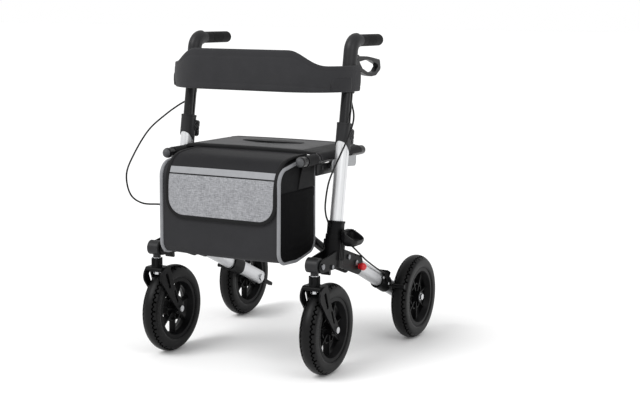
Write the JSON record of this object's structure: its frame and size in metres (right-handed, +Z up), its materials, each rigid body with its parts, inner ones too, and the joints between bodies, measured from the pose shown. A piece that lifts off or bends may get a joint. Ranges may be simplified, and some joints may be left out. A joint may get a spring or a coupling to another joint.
{
  "type": "all terrain rollator",
  "caption": "Folding wheeled walking frame with a fabric seat, front bag, backrest band, height-adjustable handles, loop brakes and large treaded wheels on swivelling front casters.",
  "frame": {"origin": "on the floor, under the centre of the whole object's box", "axes": "+Z up, the walking direction (front) along -Y, the user's left along +X"},
  "size_m": [0.663, 0.767, 0.929],
  "materials": {
    "anodised_aluminium": "satin anodised",
    "black_moulding": "fine grain",
    "black_tube": "gloss black coat",
    "rim_plastic": "satin",
    "tyre_rubber": "matte",
    "grip_rubber": "matte",
    "bright_steel": "zinc plated",
    "red_plastic": "gloss",
    "grey_plastic": "fine grain",
    "cable_sheath": "smooth",
    "bag_fabric": "coated weave",
    "flap_fabric": "heather weave",
    "seat_fabric": "coated weave",
    "back_fabric": "smooth foam-backed cloth"
  },
  "bodies": {
    "left_frame": {"upright_tube_left": "anodised_aluminium", "frame_bracket_left": "black_moulding", "frame_pins_left": "bright_steel", "height_collar_left": "black_moulding", "rail_saddle_left": "grey_plastic", "brake_cable_upper_left": "cable_sheath", "brake_cable_lower_left": "cable_sheath", "cane_cup": "black_moulding"},
    "left_handle": {"handle_tube_left": "black_tube", "handle_body_left": "black_moulding", "hand_grip_left": "grip_rubber", "backrest": "back_fabric"},
    "left_knob": {"height_knob_left": "black_moulding"},
    "left_lever": {"brake_lever_left": "black_moulding"},
    "left_leg": {"rear_leg_left": "anodised_aluminium", "brake_clamp_left": "black_moulding", "rear_axle_left": "bright_steel"},
    "left_brake": {"brake_arm_left": "black_moulding"},
    "left_rear_wheel": {"rear_rim_left": "rim_plastic", "rear_tyre_left": "tyre_rubber"},
    "left_button": {"release_button_left": "red_plastic"},
    "left_knuckle": {"caster_knuckle_left": "black_moulding"},
    "left_fork": {"caster_fork_left": "black_moulding", "front_axle_left": "bright_steel"},
    "left_front_wheel": {"front_rim_left": "rim_plastic", "front_tyre_left": "tyre_rubber"},
    "left_latch": {"caster_latch_left": "black_moulding"},
    "right_frame": {"upright_tube_right": "anodised_aluminium", "frame_bracket_right": "black_moulding", "frame_pins_right": "bright_steel", "height_collar_right": "black_moulding", "rail_saddle_right": "grey_plastic", "brake_cable_upper_right": "cable_sheath", "brake_cable_lower_right": "cable_sheath"},
    "right_handle": {"handle_tube_right": "black_tube", "handle_body_right": "black_moulding", "hand_grip_right": "grip_rubber"},
    "right_knob": {"height_knob_right": "black_moulding"},
    "right_lever": {"brake_lever_right": "black_moulding"},
    "right_leg": {"rear_leg_right": "anodised_aluminium", "brake_clamp_right": "black_moulding", "rear_axle_right": "bright_steel"},
    "right_brake": {"brake_arm_right": "black_moulding"},
    "right_rear_wheel": {"rear_rim_right": "rim_plastic", "rear_tyre_right": "tyre_rubber"},
    "right_button": {"release_button_right": "red_plastic"},
    "right_knuckle": {"caster_knuckle_right": "black_moulding"},
    "right_fork": {"caster_fork_right": "black_moulding", "front_axle_right": "bright_steel"},
    "right_front_wheel": {"front_rim_right": "rim_plastic", "front_tyre_right": "tyre_rubber"},
    "right_latch": {"caster_latch_right": "black_moulding"},
    "cross_left": {"cross_tube_left": "black_tube", "seat_rail_right": "black_tube"},
    "cross_right": {"cross_tube_right": "black_tube", "seat_rail_left": "black_tube", "cross_pin": "bright_steel"},
    "seat": {"seat_cover": "seat_fabric", "bag": "bag_fabric", "bag_flap": "flap_fabric"}
  },
  "joints": [
    {"name": "x_fold", "type": "hinge", "parent": "left_frame", "child": "cross_left", "pos_m": [0.2125, -0.1395, 0.318], "axis": [0, 1, 0], "range_deg": [0, 42], "deforming": ["seat_cover", "bag", "bag_flap", "backrest"]},
    {"name": "x_cross", "type": "hinge", "parent": "cross_left", "child": "cross_right", "pos_m": [0, -0.1535, 0.4545], "axis": [0, 1, 0], "range_deg": [-84, 0]},
    {"name": "x_right", "type": "hinge", "parent": "cross_right", "child": "right_frame", "pos_m": [-0.2125, -0.1675, 0.318], "axis": [0, 1, 0], "range_deg": [0, 42]},
    {"name": "seat_level", "type": "hinge", "parent": "cross_left", "child": "seat", "pos_m": [-0.2125, -0.0915, 0.591], "axis": [0, 1, 0], "range_deg": [-42, 0]},
    {"name": "leg_fold_left", "type": "hinge", "parent": "left_frame", "child": "left_leg", "pos_m": [0.2545, -0.0975, 0.29], "axis": [1, 0, 0], "range_deg": [0, 104], "deforming": ["brake_cable_lower_left"]},
    {"name": "caster_fold_left", "type": "hinge", "parent": "left_frame", "child": "left_knuckle", "pos_m": [0.2545, -0.3015, 0.314], "axis": [1, 0, 0], "range_deg": [-185, 0]},
    {"name": "caster_swivel_left", "type": "hinge", "parent": "left_knuckle", "child": "left_fork", "pos_m": [0.2545, -0.3055, 0.29], "axis": [0, 0, -1], "continuous": true},
    {"name": "front_wheel_spin_left", "type": "hinge", "parent": "left_fork", "child": "left_front_wheel", "pos_m": [0.2545, -0.2315, 0.127], "axis": [1, 0, 0], "continuous": true},
    {"name": "rear_wheel_spin_left", "type": "hinge", "parent": "left_leg", "child": "left_rear_wheel", "pos_m": [0.3025, 0.2565, 0.127], "axis": [1, 0, 0], "continuous": true},
    {"name": "handle_slide_left", "type": "slide", "parent": "left_frame", "child": "left_handle", "axis": [0, 0.165, 0.9863], "range_m": [-0.08, 0.06], "deforming": ["brake_cable_upper_left"]},
    {"name": "knob_turn_left", "type": "hinge", "parent": "left_frame", "child": "left_knob", "pos_m": [0.2545, -0.10686, 0.64356], "axis": [0, 0.9863, -0.165], "range_deg": [0, 180]},
    {"name": "brake_lever_left", "type": "hinge", "parent": "left_handle", "child": "left_lever", "pos_m": [0.2545, -0.0825, 0.857], "axis": [1, 0, 0], "range_deg": [0, 11], "stiffness_Nm_per_rad": 2, "springref_deg": -8.59},
    {"name": "brake_arm_left", "type": "hinge", "parent": "left_leg", "child": "left_brake", "pos_m": [0.2776, 0.1205, 0.2], "axis": [1, 0, 0], "range_deg": [0, 5]},
    {"name": "release_button_left", "type": "slide", "parent": "left_frame", "child": "left_button", "axis": [1, 0, 0], "range_m": [0, 0.008], "stiffness_N_per_m": 400, "springref_m": -0.002},
    {"name": "caster_latch_left", "type": "hinge", "parent": "left_frame", "child": "left_latch", "pos_m": [0.2545, -0.2455, 0.304], "axis": [1, 0, 0], "range_deg": [0, 25], "stiffness_Nm_per_rad": 0.2, "springref_deg": -17.19},
    {"name": "leg_fold_right", "type": "hinge", "parent": "right_frame", "child": "right_leg", "pos_m": [-0.2545, -0.0975, 0.29], "axis": [1, 0, 0], "range_deg": [0, 104], "deforming": ["brake_cable_lower_right"]},
    {"name": "caster_fold_right", "type": "hinge", "parent": "right_frame", "child": "right_knuckle", "pos_m": [-0.2545, -0.3015, 0.314], "axis": [1, 0, 0], "range_deg": [-185, 0]},
    {"name": "caster_swivel_right", "type": "hinge", "parent": "right_knuckle", "child": "right_fork", "pos_m": [-0.2545, -0.3055, 0.29], "axis": [0, 0, 1], "continuous": true},
    {"name": "front_wheel_spin_right", "type": "hinge", "parent": "right_fork", "child": "right_front_wheel", "pos_m": [-0.2545, -0.2315, 0.127], "axis": [1, 0, 0], "continuous": true},
    {"name": "rear_wheel_spin_right", "type": "hinge", "parent": "right_leg", "child": "right_rear_wheel", "pos_m": [-0.3025, 0.2565, 0.127], "axis": [1, 0, 0], "continuous": true},
    {"name": "handle_slide_right", "type": "slide", "parent": "right_frame", "child": "right_handle", "axis": [0, 0.165, 0.9863], "range_m": [-0.08, 0.06], "deforming": ["brake_cable_upper_right"]},
    {"name": "knob_turn_right", "type": "hinge", "parent": "right_frame", "child": "right_knob", "pos_m": [-0.2545, -0.10686, 0.64356], "axis": [0, 0.9863, -0.165], "range_deg": [0, 180]},
    {"name": "brake_lever_right", "type": "hinge", "parent": "right_handle", "child": "right_lever", "pos_m": [-0.2545, -0.0825, 0.857], "axis": [1, 0, 0], "range_deg": [0, 11], "stiffness_Nm_per_rad": 2, "springref_deg": -8.59},
    {"name": "brake_arm_right", "type": "hinge", "parent": "right_leg", "child": "right_brake", "pos_m": [-0.2776, 0.1205, 0.2], "axis": [1, 0, 0], "range_deg": [0, 5]},
    {"name": "release_button_right", "type": "slide", "parent": "right_frame", "child": "right_button", "axis": [-1, 0, 0], "range_m": [0, 0.008], "stiffness_N_per_m": 400, "springref_m": -0.002},
    {"name": "caster_latch_right", "type": "hinge", "parent": "right_frame", "child": "right_latch", "pos_m": [-0.2545, -0.2455, 0.304], "axis": [1, 0, 0], "range_deg": [0, 25], "stiffness_Nm_per_rad": 0.2, "springref_deg": -17.19}
  ],
  "couplings": [
    {"joint": "x_cross", "follows": "x_fold", "ratio": -2},
    {"joint": "x_right", "follows": "x_fold", "ratio": 1},
    {"joint": "seat_level", "follows": "x_fold", "ratio": -1},
    {"joint": "brake_arm_left", "follows": "brake_lever_left", "ratio": 0.45},
    {"joint": "brake_arm_right", "follows": "brake_lever_right", "ratio": 0.45},
    {"joint": "handle_slide_right", "follows": "handle_slide_left", "ratio": 1}
  ]
}
